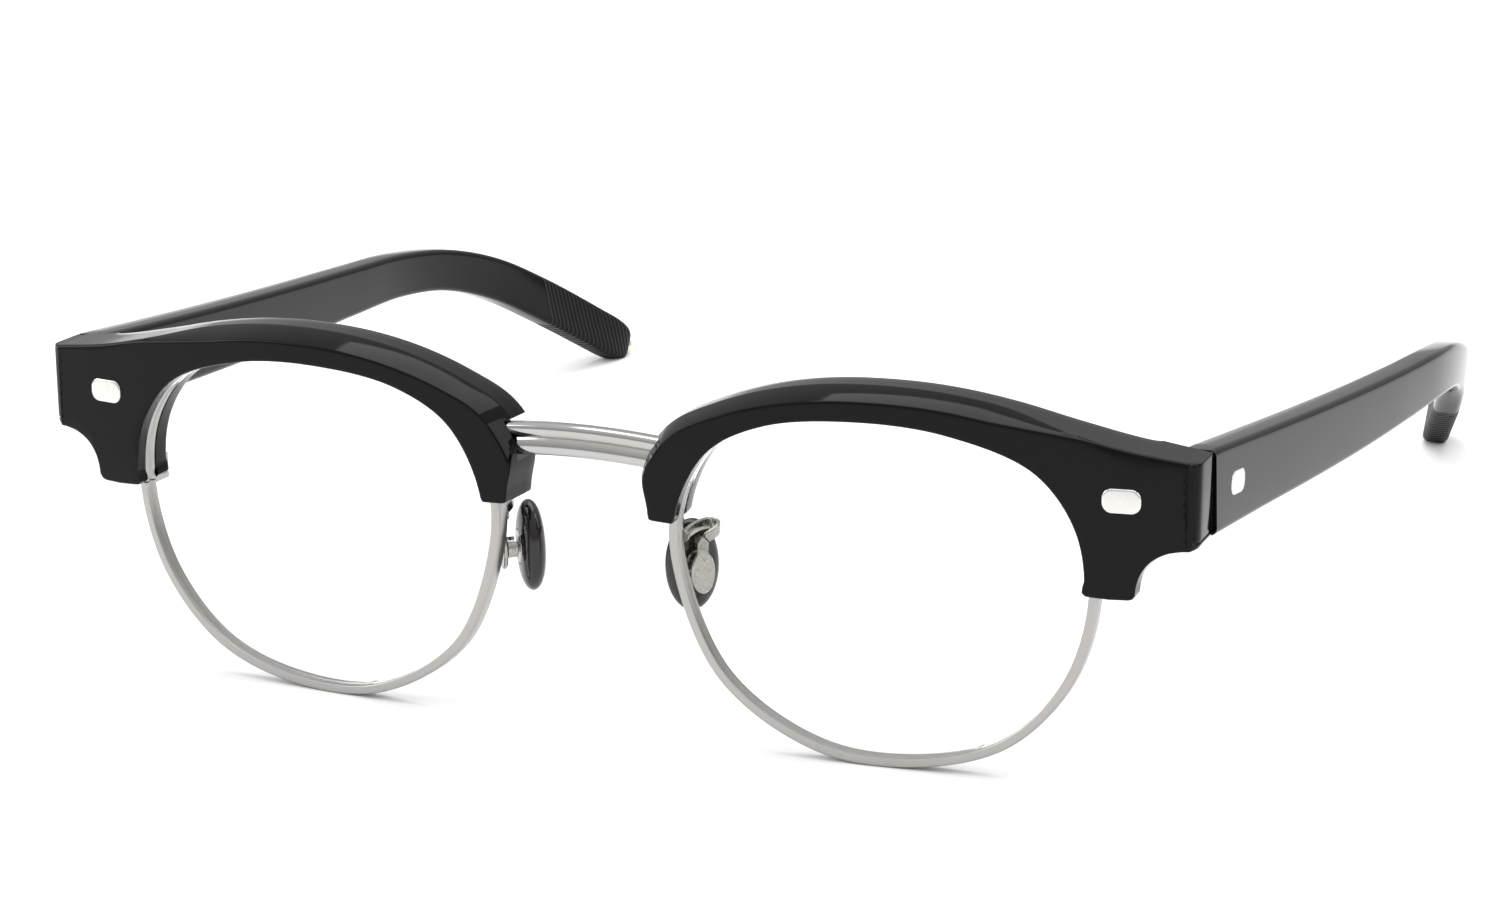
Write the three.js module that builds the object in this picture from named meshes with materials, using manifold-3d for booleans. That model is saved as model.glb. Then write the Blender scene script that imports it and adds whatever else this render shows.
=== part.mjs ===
// Browline eyeglasses: acetate brows over a closed metal rim, hinged acetate temples.
// Millimetres, +Z up, the front faces -Y, symmetric about X = 0.
import * as THREE from "three";
import Module from "manifold-3d";

const wasm = await Module();
wasm.setup();

// ---------------------------------------------------------------- sizes (mm)
const EYE_X = 35.5;            // eye centre, from the middle of the bridge
const WRAP = 3.96;             // degrees, each eye turned back at its outer end
const LEAN = 1.59;             // degrees, the front leans back when it stands on a table
const BEND_R = 380;            // radius of the front's overall bend
const RIM_DEPTH = 2.0;
const RIM_FACE = 1.1;          // radial thickness of the rim
const LIP = 1.8;               // acetate in front of the rim
const BROW_BACK = 4.2;         // depth of the brow's rear face behind the rim's front face
const SLOT_GAP = 0.06;
const CHAMFER = 1.15;          // height lost along the brow's top front edge
const CHAMFER_DEPTH = 2.6;
const CORNER_R = 1.4;          // rounding of the end block's front corner
const BLOCK_EXTRA = 1.2;       // the brow is deeper at the end block, to meet the temple
const FLOOR_CUT = 0.04;        // depth of the small flats the rims and tips stand on
const HINGE = { x: 66.1, y: 9.75, r: 1.25, gap: 0.05, screwR: 0.5 };
const HINGE_V = { low: 7.9, split1: 9.9, split2: 12.1, high: 14.1 };
const TEMPLE_FRONT_Y = 8.7;
const BLOCK_BACK_Y = 8.42;
const LEFT_SPLAY = 2.96;        // degrees the left temple stands further open than the right one
const WIRE_R = 0.65;
const PLAQUE = { w: 4.3, h: 2.7, r: 1.1, thick: 0.6, proud: 0.12, pinR: 0.55, pinLen: 1.4 };
const PAD = { u: -24.9, v: -2.65, w: 6.6, turn: 42, height: 10.8, width: 6.4, thick: 2.9 };
const BOX = { deep: 1.25, pinOut: -0.8, wall: 0.25 };

// Outline of the closed rim (u outward, v up, from the eye centre), a closed smooth curve.
const RIM_POINTS = [
  [24.4, 0], [21.5, -10.1], [14.3, -18.0], [3.9, -21.4], [-8.1, -20.8], [-19.5, -13.5], [-24.8, 0],
  [-24.3, 7.0], [-20.3, 13.9], [-13.3, 17.6], [-3, 19.0], [8.3, 18.3], [18.5, 14.7], [23.4, 8.2],
];
// Top edge of the brow, from the nose end to the outer corner.
const BROW_TOP = [
  [-26.9, 6.0], [-27.5, 9.6], [-26.9, 12.7], [-24.6, 15.4], [-19.6, 17.9], [-13.6, 19.9], [-7.1, 21.1],
  [0, 21.5], [7, 21.2], [14, 20.15], [21, 18.5], [28, 16.95], [34.2, 16.05],
];
// Concave notch under the end block, from the block to the squared lobe.
const NOTCH = [[34.6, 6.3], [32.2, 5.9], [30.5, 4.9], [29.5, 3.4], [29.1, 1.9]];

// ---------------------------------------------------------------- placing
const turn = new THREE.Matrix4().makeRotationX(THREE.MathUtils.degToRad(-LEAN));
turn.multiply(new THREE.Matrix4().makeRotationZ(THREE.MathUtils.degToRad(WRAP)));

/** Eye frame (u out, v up, w back from the rim's front face) to the world, at height 0. */
function placeEye(u, v, w) {
  const bent = w + (u * u + v * v) / (2 * BEND_R);
  return new THREE.Vector3(u, bent, v).applyMatrix4(turn).add(new THREE.Vector3(EYE_X, 0, 0));
}

// ---------------------------------------------------------------- outlines
function smooth(points, closed, count) {
  const curve = new THREE.CatmullRomCurve3(points.map(([u, v]) => new THREE.Vector3(u, v, 0)), closed, "centripetal");
  const list = curve.getSpacedPoints(count).map((p) => [p.x, p.y]);
  if (closed) list.pop();
  return list;
}

/** Rounds the corners of a polygon; items are [u, v] or [u, v, radius]. */
function roundCorners(items, steps) {
  const out = [];
  items.forEach(([u, v, radius], i) => {
    if (!radius) {
      out.push([u, v]);
      return;
    }
    const here = new THREE.Vector2(u, v);
    const before = new THREE.Vector2(...items[(i + items.length - 1) % items.length]).sub(here).normalize();
    const after = new THREE.Vector2(...items[(i + 1) % items.length]).sub(here).normalize();
    const half = Math.acos(before.dot(after)) / 2;
    const run = radius / Math.tan(half);
    const centre = before.clone().add(after).normalize().multiplyScalar(radius / Math.sin(half)).add(here);
    const a = before.multiplyScalar(run).add(here).sub(centre);
    const b = after.multiplyScalar(run).add(here).sub(centre);
    const sweep = Math.atan2(a.x * b.y - a.y * b.x, a.dot(b));
    for (let k = 0; k <= steps; k++) {
      const p = a.clone().rotateAround(new THREE.Vector2(), (sweep * k) / steps).add(centre);
      out.push([p.x, p.y]);
    }
  });
  return out;
}

/** Moves an outline inward (to the left of its direction for anticlockwise outlines). */
function inset(outline, amount) {
  const n = outline.length;
  return outline.map(([u, v], i) => {
    const a = outline[(i + n - 1) % n];
    const b = outline[(i + 1) % n];
    const d1 = new THREE.Vector2(u - a[0], v - a[1]).normalize();
    const d2 = new THREE.Vector2(b[0] - u, b[1] - v).normalize();
    const mid = new THREE.Vector2(-d1.y - d2.y, d1.x + d2.x).normalize();
    const stretch = 1 / Math.max(0.5, mid.dot(new THREE.Vector2(-d1.y, d1.x)));
    return [u + mid.x * amount * stretch, v + mid.y * amount * stretch];
  });
}

const anticlockwise = (outline) => {
  const area = THREE.ShapeUtils.area(outline.map((p) => new THREE.Vector2(...p)));
  return area < 0 ? outline.slice().reverse() : outline;
};

const rimOutline = anticlockwise(smooth(RIM_POINTS, true, 72));

function browOutline() {
  const top = smooth(BROW_TOP, false, 32);
  const lip = inset(rimOutline, RIM_FACE + 0.05);
  const notch = smooth(NOTCH, false, 8);
  // the inner edge runs along the rim from the lobe, over the top, to the nose end
  const start = lip.findIndex(([u, v], i) => u > 0 && v >= 1.6 && lip[(i + 1) % lip.length][1] > v);
  const inner = [];
  for (let k = 0; k < lip.length; k++) {
    const [u, v] = lip[(start + k) % lip.length];
    if (u < 0 && v < 5.2) break;
    inner.push([u, v]);
  }
  const items = [
    ...inner,
    [-23.75, 4.15, 0.7],
    [-26.6, 4.3, 0.8],
    ...top.slice(1),
    [35.75, 15.9, 0.55],
    [35.55, 6.35, 1.0],
    ...notch.slice(1),
    [28.9, 0.6, 0.9],
    [26.1, 0.45],
    [23.05, 0.65, 0.6],
  ];
  return anticlockwise(roundCorners(items, 3));
}

// ---------------------------------------------------------------- solids
/** A closed body through matching rings of points, capped at both ends. */
function loft(rings, flat) {
  const n = rings[0].length;
  const positions = rings.flat().flatMap((p) => [p.x, p.y, p.z]);
  const triangles = [];
  for (let r = 0; r + 1 < rings.length; r++) {
    for (let i = 0; i < n; i++) {
      const j = (i + 1) % n;
      const a = r * n + i;
      const b = r * n + j;
      const c = (r + 1) * n + j;
      const d = (r + 1) * n + i;
      triangles.push(a, b, c, a, c, d);
    }
  }
  const cap = THREE.ShapeUtils.triangulateShape(flat.map((p) => new THREE.Vector2(...p)), []);
  const last = (rings.length - 1) * n;
  cap.forEach(([a, b, c]) => triangles.push(c, b, a, last + a, last + b, last + c));
  return solid(positions, triangles);
}

/** A closed ring swept round an outline; section(i) gives the ring of points at outline point i. */
function loop(sections) {
  const count = sections.length;
  const n = sections[0].length;
  const positions = sections.flat().flatMap((p) => [p.x, p.y, p.z]);
  const triangles = [];
  for (let s = 0; s < count; s++) {
    const t = (s + 1) % count;
    for (let i = 0; i < n; i++) {
      const j = (i + 1) % n;
      triangles.push(s * n + i, s * n + j, t * n + j, s * n + i, t * n + j, t * n + i);
    }
  }
  return solid(positions, triangles);
}

/** Makes a manifold and turns it the right way out. */
function solid(positions, triangles) {
  const build = (tri) => new wasm.Manifold(new wasm.Mesh({
    numProp: 3,
    vertProperties: Float32Array.from(positions),
    triVerts: Uint32Array.from(tri),
  }));
  let volume = 0;
  const at = (i) => new THREE.Vector3().fromArray(positions, i * 3);
  for (let k = 0; k < triangles.length; k += 3) {
    volume += at(triangles[k]).dot(at(triangles[k + 1]).cross(at(triangles[k + 2])));
  }
  if (volume > 0) return build(triangles);
  const flipped = [];
  for (let k = 0; k < triangles.length; k += 3) {
    flipped.push(triangles[k], triangles[k + 2], triangles[k + 1]);
  }
  return build(flipped);
}

/** A three.js geometry, welded by position, as a manifold. */
function fromGeometry(geometry) {
  const source = geometry.index ? geometry.toNonIndexed() : geometry;
  const pos = source.getAttribute("position");
  const seen = new Map();
  const positions = [];
  const triangles = [];
  for (let i = 0; i < pos.count; i++) {
    const key = [pos.getX(i), pos.getY(i), pos.getZ(i)].map((value) => Math.round(value * 1e5)).join(",");
    if (!seen.has(key)) {
      seen.set(key, positions.length / 3);
      positions.push(pos.getX(i), pos.getY(i), pos.getZ(i));
    }
    triangles.push(seen.get(key));
  }
  const kept = [];
  for (let k = 0; k < triangles.length; k += 3) {
    const [a, b, c] = triangles.slice(k, k + 3);
    if (a !== b && b !== c && c !== a) kept.push(a, b, c);
  }
  return solid(positions, kept);
}

/** Outline layers [inset, depth] in the eye frame, front to back. */
function eyePlate(outline, layers, shape = (u, v, w) => [u, v, w]) {
  const rings = layers.map(([amount, w]) => inset(outline, amount).map(([u, v]) => placeEye(...shape(u, v, w))));
  return loft(rings, inset(outline, layers[0][0]));
}

/** A box in the eye frame. */
function eyeBox(u0, u1, v0, v1, w0, w1) {
  return eyePlate([[u0, v0], [u1, v0], [u1, v1], [u0, v1]], [[0, w0], [0, w1]]);
}

function box(x0, x1, y0, y1, z0, z1) {
  const geometry = new THREE.BoxGeometry(x1 - x0, y1 - y0, z1 - z0);
  geometry.translate((x0 + x1) / 2, (y0 + y1) / 2, (z0 + z1) / 2);
  return fromGeometry(geometry);
}

/** A round pin between two points. */
function pin(a, b, radius, sides = 16) {
  const length = a.distanceTo(b);
  const geometry = new THREE.CylinderGeometry(radius, radius, length, sides);
  const spin = new THREE.Quaternion().setFromUnitVectors(new THREE.Vector3(0, 1, 0), b.clone().sub(a).normalize());
  geometry.applyQuaternion(spin);
  const middle = a.clone().add(b).multiplyScalar(0.5);
  geometry.translate(middle.x, middle.y, middle.z);
  return fromGeometry(geometry);
}

/** A strip swept along stations; each has a centre, two unit directions and a 2-D section. */
function sweep(stations) {
  const rings = stations.map(({ centre, side, up, section }) => section.map(([a, b]) =>
    centre.clone().addScaledVector(side, a).addScaledVector(up, b)));
  return loft(rings, stations[0].section);
}

/** Rounded rectangle section, width a, height b. */
function roundedRect(width, height, radius, steps = 2) {
  const w = width / 2;
  const h = height / 2;
  return roundCorners([[w, -h, radius], [w, h, radius], [-w, h, radius], [-w, -h, radius]], steps);
}

// ---------------------------------------------------------------- heights
let lowest = Infinity;
rimOutline.forEach(([u, v]) => {
  lowest = Math.min(lowest, placeEye(u, v, 0.3).z, placeEye(u, v, RIM_DEPTH - 0.3).z);
});
const EYE_Z = -lowest - FLOOR_CUT;
const lift = (body) => body.translate(0, 0, EYE_Z);
const eye = (u, v, w) => placeEye(u, v, w).add(new THREE.Vector3(0, 0, EYE_Z));
const aboveTable = box(-200, 200, -100, 300, 0, 200);

// ---------------------------------------------------------------- materials
const look = (color, roughness, metalness) => ({ color, roughness, metalness });
const ACETATE = look(0x0b0b0d, 0.12, 0);
const SATIN_METAL = look(0xb4b2ae, 0.35, 1);
const POLISHED_METAL = look(0xd8d6d2, 0.12, 1);
const STEEL = look(0x9a9a9c, 0.3, 1);
const HORN = look(0x2a1d14, 0.25, 0);
const GLASS = look(0xf4f7f8, 0.03, 0);
const BRASS = look(0xcdb48a, 0.25, 1);

const pieces = [];
const piece = (name, body, material) => pieces.push({ name, body, material });

// ---------------------------------------------------------------- front
const brow = browOutline();
const smoothstep = THREE.MathUtils.smoothstep;

/** Slopes the brow's top front edge back toward the nose end. */
function chamferTop(u, v, w) {
  const along = 1 - smoothstep(u, 12, 25);
  const nearTop = smoothstep(v, 8, 13) * along;
  const forward = Math.max(0, 1 - (w + LIP) / CHAMFER_DEPTH);
  return [u + nearTop * forward * CHAMFER * smoothstep(-u, 20, 27) * 0.8, v - nearTop * forward * CHAMFER, w];
}

/** Rounds the end block's front corner and makes the block deep enough to meet the temple. */
function shapeBlock(u, v, w) {
  const ahead = Math.max(0, CORNER_R - (w + LIP));
  const bite = CORNER_R - Math.sqrt(CORNER_R ** 2 - ahead ** 2);
  const extra = w > 2.5 ? BLOCK_EXTRA * smoothstep(u, 27, 32) : 0;
  return [u - bite * smoothstep(u, 34.4, 35.4), v, w + extra];
}

function makeBrow() {
  let body = eyePlate(brow, [
    [0.3, -LIP], [0.06, -LIP + 0.25], [0, -LIP + 0.65], [0, -LIP + CORNER_R], [0, -LIP + CHAMFER_DEPTH],
    [0, BROW_BACK - 0.3], [0.3, BROW_BACK],
  ], (u, v, w) => (inInner(u, v) ? [u, v, w] : shapeBlock(...chamferTop(u, v, w))));
  body = body.subtract(ringBody([
    [-SLOT_GAP, -SLOT_GAP], [4, -SLOT_GAP], [4, RIM_DEPTH + SLOT_GAP], [-SLOT_GAP, RIM_DEPTH + SLOT_GAP],
  ]));
  // way in for the bridge, open to the back
  body = body.subtract(eyeBox(-30, -24.2, 9.2, 13.7, 0, 6));
  body = body.subtract(eyeBox(-24.3, -20, 9.2, 13.7, 0, 2.3));
  // pocket for the rim lock, open to the back and the outside
  body = body.subtract(eyeBox(24.1, 31, -3, 3.4, 0.25, 7));
  body = lift(body);
  // seat for the front hinge leaf, and a straight rear face for the temple to close on
  body = body.subtract(box(59.5, 66.4, 6.9, 14, EYE_Z + 7.75, EYE_Z + 14.25));
  body = body.subtract(box(40, 80, BLOCK_BACK_Y, 20, 0, 60));
  return body;
}

/** True on the inner edge of the brow, the side that follows the lens. */
function inInner(u, v) {
  const r = Math.hypot(u + 0.2, v + 1);
  return v < 8.5 || r < 19.2 || (Math.abs(u) < 24 && v < topOf(u) - 1.6);
}

function topOf(u) {
  for (let i = 0; i + 1 < BROW_TOP.length; i++) {
    const [a, va] = BROW_TOP[i];
    const [b, vb] = BROW_TOP[i + 1];
    if (i > 1 && u >= a && u <= b) return va + ((vb - va) * (u - a)) / (b - a);
  }
  return 30;
}

/** A closed ring that follows the rim outline; profile points are [inset, depth]. */
function ringBody(profile) {
  const layers = profile.map(([amount]) => inset(rimOutline, amount));
  return loop(rimOutline.map((_, i) => profile.map(([, w], k) => placeEye(layers[k][i][0], layers[k][i][1], w))));
}

/** Space the rim takes, for parts soldered to its outside. */
const RIM_CLEARANCE = [[-0.02, -1], [3, -1], [3, RIM_DEPTH + 0.02], [-0.02, RIM_DEPTH + 0.02]];

/** Rim: satin front band, groove inside, split at the lock. */
function makeRim() {
  const face = RIM_FACE;
  const depth = RIM_DEPTH;
  let body = ringBody([
    [0, 0.25], [0.25, 0], [face, 0], [face, 0.66], [face - 0.5, 1.0],
    [face, 1.34], [face, depth], [0.25, depth], [0, depth - 0.25],
  ]);
  body = body.add(eyeBox(23.95, 27.4, -1.75, 2.75, 1.1, 5.3).subtract(
    eyePlate(inset(rimOutline, 0.3), [[0, 0], [0, 7]])));
  body = body.subtract(eyeBox(20, 30, 0.42, 0.58, -1, 7));
  body = lift(body);
  body = body.subtract(pin(eye(26, -3, 3.7), eye(26, 2.05, 3.7), 0.56));
  return body.intersect(aboveTable);
}

/** Lens: curved faces and a bevelled edge that sits in the rim's groove. */
function makeLens() {
  const edge = inset(rimOutline, RIM_FACE).filter((_, i) => i % 2 === 0);
  const scaled = (scale, w) => edge.map(([u, v]) => placeEye(u * scale, v * scale, w));
  const stepped = (amount, w) => inset(edge, amount).map(([u, v]) => placeEye(u, v, w));
  return lift(loft([
    scaled(0.1, 0.25), scaled(0.6, 0.25), stepped(0.07, 0.25),
    stepped(0.07, 0.78), stepped(-0.36, 1.0), stepped(0.07, 1.22),
    stepped(0.07, 1.9), scaled(0.6, 1.9), scaled(0.1, 1.9),
  ], edge));
}

function makeLockScrew() {
  const shank = pin(eye(26, -1.9, 3.7), eye(26, 1.9, 3.7), 0.5);
  const head = pin(eye(26, -2.5, 3.7), eye(26, -1.79, 3.7), 0.95);
  const slot = pin(eye(24, -2.55, 3.7), eye(28, -2.55, 3.7), 0.16, 4);
  return shank.add(head).subtract(slot);
}

/** Bridge: arched double-ridged strip between the two rims. */
function makeBridge() {
  const end = eye(-24.45, 11.4, 1.15);
  const stations = [];
  const section = [
    [0.8, -1.75], [0.95, -1.1], [0.75, -0.2], [0.35, 0.1], [0.75, 0.4], [0.95, 1.1], [0.8, 1.75],
    [-0.8, 1.75], [-0.8, -1.75],
  ];
  const half = 8;
  for (let k = -half; k <= half; k++) {
    const t = k / half;
    const rise = 0.75 * (1 - t * t);
    const forward = 0.5 * (1 - t * t);
    stations.push({
      centre: new THREE.Vector3(end.x * t, end.y - forward, end.z + rise),
      side: new THREE.Vector3(0, -1, 0),
      up: new THREE.Vector3(0, 0, 1),
      section,
    });
  }
  const rimBlock = lift(eyePlate(inset(rimOutline, -0.02), [[0, -1], [0, 6]]));
  const reach = sweep([stations[0], stations[2 * half]].map((s, i) => ({
    ...s,
    centre: s.centre.clone().add(new THREE.Vector3(i ? 4 : -4, 0, 0)),
  })));
  const stub = (sign) => reach.intersect(box(sign > 0 ? end.x - 0.1 : -20, sign > 0 ? 20 : 0.1 - end.x, -20, 20, 0, 60));
  return sweep(stations).add(stub(1)).add(stub(-1))
    .subtract(rimBlock).subtract(rimBlock.mirror([1, 0, 0]));
}

// ---------------------------------------------------------------- nose pads
const padTurn = THREE.MathUtils.degToRad(PAD.turn);
const padCentre = eye(PAD.u, PAD.v, PAD.w);
const padNormal = new THREE.Vector3(-Math.cos(padTurn), Math.sin(padTurn), 0);   // toward the nose
const padSide = new THREE.Vector3(Math.sin(padTurn), Math.cos(padTurn), 0);
const padUp = new THREE.Vector3(0, 0, 1);
const padPoint = (side, up, out) => padCentre.clone()
  .addScaledVector(padSide, side).addScaledVector(padUp, up).addScaledVector(padNormal, out);

function ellipse(rx, ry, count, egg = 0) {
  return Array.from({ length: count }, (_, i) => {
    const a = (2 * Math.PI * i) / count;
    return [rx * Math.cos(a) * (1 - egg * Math.sin(a)), ry * Math.sin(a)];
  });
}

/** Domed pad with a socket for its metal insert. */
function makePad() {
  const half = PAD.thick / 2;
  const layers = [[0.72, -half], [0.97, -half * 0.6], [1, 0], [0.84, half * 0.6], [0.45, half]];
  const flat = ellipse(PAD.width / 2, PAD.height / 2, 24, 0.1);
  const rings = layers.map(([scale, out]) => flat.map(([a, b]) => padPoint(a * scale, b * scale, out)));
  const body = loft(rings, flat);
  const socket = plateAt(1.36, 2.1, -half - 1, -half + 0.6);
  return body.subtract(socket);
}

/** Upright plate parallel to the pad, given half width, half height and two depths. */
function plateAt(halfWidth, halfHeight, out0, out1) {
  const flat = roundedRect(halfWidth * 2, halfHeight * 2, Math.min(halfWidth, halfHeight) * 0.6);
  return loft([out0, out1].map((out) => flat.map(([a, b]) => padPoint(a, b, out))), flat);
}

const BOX_OUT = -PAD.thick / 2;
/** Metal insert of the pad with the lug that goes into the box. */
function makePadInsert() {
  const seat = plateAt(1.3, 2.04, BOX_OUT - 0.02, BOX_OUT + 0.56);
  const lug = plateAt(0.55, 0.45, BOX_OUT + BOX.pinOut - 0.33, BOX_OUT);
  return seat.add(lug).subtract(padBore());
}

/** Open box that holds the lug, soldered on the oval plate of the arm. */
function makePadBox() {
  const floor = BOX_OUT - 0.25 - BOX.deep;
  const outer = plateAt(1.2, 1.25, floor, BOX_OUT - 0.25);
  const flat = [[-0.66, -1.6], [0.66, -1.6], [0.66, 1.6], [-0.66, 1.6]];
  const inner = loft([floor + BOX.wall, BOX_OUT + 1].map((out) => flat.map(([a, b]) => padPoint(a, b, out))), flat);
  return outer.subtract(inner).subtract(padBore());
}

const pinLine = (a) => padPoint(a, 0, BOX_OUT + BOX.pinOut);
const padBore = () => pin(pinLine(-3), pinLine(3), 0.24, 12);
const makePadPin = () => pin(pinLine(-1.25), pinLine(1.5), 0.2, 12).add(pin(pinLine(1.24), pinLine(1.6), 0.5, 12));

/** Arm: a strip soldered behind the rim, looped back on itself, and its oval plate behind the box. */
function makePadArm() {
  const plateOut = BOX_OUT - 0.27 - BOX.deep;
  const path = new THREE.CatmullRomCurve3([
    eye(-24.0, 2.0, 2.35),
    eye(-23.75, 2.3, 3.6),
    eye(-23.3, 2.45, 5.4),
    eye(-22.6, 2.4, 6.7),
    eye(-21.6, 2.25, 6.6),
    eye(-21.35, 2.0, 5.6),
    padPoint(0.1, 3.9, plateOut - 0.75),
    padPoint(0, 2.6, plateOut - 0.35),
    padPoint(0, 1.6, plateOut - 0.3),
  ]);
  const count = 24;
  const flat = roundedRect(0.5, 1.3, 0.15, 1);
  const upward = new THREE.Vector3(0, 0, 1);
  const stations = [];
  for (let k = 0; k <= count; k++) {
    const tangent = path.getTangentAt(k / count);
    const blend = THREE.MathUtils.smoothstep(k / count, 0.62, 0.9);
    const across = upward.clone().lerp(padSide, blend);
    across.addScaledVector(tangent, -across.dot(tangent)).normalize();
    stations.push({
      centre: path.getPointAt(k / count), side: new THREE.Vector3().crossVectors(tangent, across), up: across,
      section: flat,
    });
  }
  const oval = ellipse(1.4, 2.5, 20);
  const plate = loft([plateOut - 0.5, plateOut].map((out) => oval.map(([a, b]) => padPoint(a, b, out))), oval);
  const foot = pin(eye(-24.1, 2.0, 2.03), eye(-24.1, 2.0, 2.6), 0.75, 14);
  return sweep(stations).add(plate).add(foot).subtract(lift(ringBody(RIM_CLEARANCE)));
}

// ---------------------------------------------------------------- hinge
const zHinge = (v) => EYE_Z + v;
const hingeAt = (v, dx = 0, dy = 0) => new THREE.Vector3(HINGE.x + dx, HINGE.y + dy, zHinge(v));
const barrel = (v0, v1) => pin(hingeAt(v0), hingeAt(v1), HINGE.r, 20);
const hingeBore = () => pin(hingeAt(0), hingeAt(20), HINGE.screwR + 0.04, 14);

function makeFrontLeaf() {
  const plate = box(59.6, 66.0, 7.0, 8.6, zHinge(7.9), zHinge(14.1));
  const web = (v0, v1) => box(64.9, 66.0, 7.2, HINGE.y, zHinge(v0), zHinge(v1));
  const clear = pin(hingeAt(9.85), hingeAt(12.15), HINGE.r + 0.12, 20);
  return plate.subtract(clear)
    .add(barrel(HINGE_V.low, HINGE_V.split1 - HINGE.gap)).add(barrel(HINGE_V.split2 + HINGE.gap, HINGE_V.high))
    .add(web(HINGE_V.low, HINGE_V.split1 - HINGE.gap)).add(web(HINGE_V.split2 + HINGE.gap, HINGE_V.high))
    .subtract(hingeBore());
}

function makeTempleLeaf() {
  const z0 = zHinge(HINGE_V.split1);
  const z1 = zHinge(HINGE_V.split2);
  const tongue = box(HINGE.x + 0.1, 66.95, HINGE.y, 13, z0, z1);
  const plate = box(66.25, 66.95, 11.7, 18.4, zHinge(8.6), zHinge(13.4));
  return barrel(HINGE_V.split1, HINGE_V.split2).add(tongue).add(plate).subtract(hingeBore());
}

function makeHingeScrew() {
  const shank = pin(hingeAt(HINGE_V.low - 0.3), hingeAt(HINGE_V.high + 0.05), HINGE.screwR, 14);
  const head = pin(hingeAt(HINGE_V.high + 0.02), hingeAt(HINGE_V.high + 0.55), 0.95, 16);
  const slot = box(HINGE.x - 0.14, HINGE.x + 0.14, HINGE.y - 2, HINGE.y + 2, zHinge(14.45), zHinge(15));
  return shank.add(head).subtract(slot);
}

// ---------------------------------------------------------------- temple
// Centre line stations: x, y, centre height, height of the section, thickness.
const TEMPLE = [
  [69.05, TEMPLE_FRONT_Y, 32.8, 9.55, 4.0], [69.2, 24, 30.75, 8.75, 4.0], [69.45, 42, 28.35, 8.0, 3.95],
  [69.7, 60, 26.15, 7.2, 3.85], [69.8, 76, 24.4, 6.4, 3.75], [69.5, 90, 22.8, 5.8, 3.6],
  [68.2, 101, 20.6, 5.6, 3.5], [65.9, 111.5, 16.6, 5.8, 3.45], [62.6, 121, 10.9, 5.9, 3.4],
  [58.2, 131, 3.77, 5.7, 3.4],
];

function templeStations(shrink) {
  const line = new THREE.CatmullRomCurve3(TEMPLE.map(([x, y, z]) => new THREE.Vector3(x, y, z)), false, "centripetal");
  const stations = [];
  const count = 20;
  for (let k = 0; k <= count; k++) {
    const centre = line.getPoint(k / count);
    const tangent = line.getTangent(k / count);
    const place = (k / count) * (TEMPLE.length - 1);
    const at = Math.min(TEMPLE.length - 2, Math.floor(place));
    const mix = (column) => THREE.MathUtils.lerp(TEMPLE[at][column], TEMPLE[at + 1][column], place - at);
    const flatEnd = k === 0;
    const side = new THREE.Vector3(1, 0, 0).addScaledVector(tangent, -tangent.x).normalize();
    const up = new THREE.Vector3().crossVectors(side, tangent).normalize();
    const section = roundedRect(mix(4) - shrink, mix(3) - shrink, 0.9, 2);
    stations.push(flatEnd
      ? { centre, side: new THREE.Vector3(1, 0, 0), up: new THREE.Vector3(0, 0, 1), section, tangent }
      : { centre, side, up, section, tangent });
  }
  return stations;
}

function makeTemple() {
  const stations = templeStations(0);
  const last = stations[stations.length - 1];
  // rounded end
  [[2.2, 0.93], [3.7, 0.76], [4.7, 0.5]].forEach(([run, scale]) => stations.push({
    ...last,
    centre: last.centre.clone().addScaledVector(last.tangent, run),
    section: last.section.map(([a, b]) => [a * (0.35 + 0.65 * scale), b * scale]),
  }));
  let body = sweep(stations).intersect(aboveTable);
  body = body.subtract(sweepWire(WIRE_R + 0.05, 1));
  // clearance round the hinge barrels and seat of the temple leaf
  body = body.subtract(pin(hingeAt(7.5), hingeAt(15), HINGE.r + 0.2, 24));
  body = body.subtract(box(60, 67.0, TEMPLE_FRONT_Y - 1, 18.5, zHinge(8.5), zHinge(13.5)));
  return body;
}

/** Core wire path: straight down the middle of the temple and out of its tip. */
function sweepWire(radius, extra) {
  const line = new THREE.CatmullRomCurve3(TEMPLE.map(([x, y, z]) => new THREE.Vector3(x, y, z)), false, "centripetal");
  const stations = [];
  const count = 18;
  const first = 0.22;
  const ring = ellipse(radius, radius, 8);
  for (let k = 0; k <= count; k++) {
    const t = first + ((1 - first) * k) / count;
    const tangent = line.getTangent(t);
    const side = new THREE.Vector3(1, 0, 0).addScaledVector(tangent, -tangent.x).normalize();
    stations.push({ centre: line.getPoint(t), side, up: new THREE.Vector3().crossVectors(side, tangent), section: ring, tangent });
  }
  const last = stations[stations.length - 1];
  stations[0].centre.addScaledVector(stations[0].tangent, -0.05 * extra);
  stations.push({ ...last, centre: last.centre.clone().addScaledVector(last.tangent, extra ? 8 : 4.2) });
  return sweep(stations);
}

/** Small metal bead closing the tip of the temple. */
function makeBead() {
  const stations = templeStations(0);
  const { centre, tangent } = stations[stations.length - 1];
  const at = (run) => centre.clone().addScaledVector(tangent, run);
  return pin(at(4.72), at(5.35), 0.95, 16).add(pin(at(5.3), at(5.7), 0.6, 16)).intersect(aboveTable);
}

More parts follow.
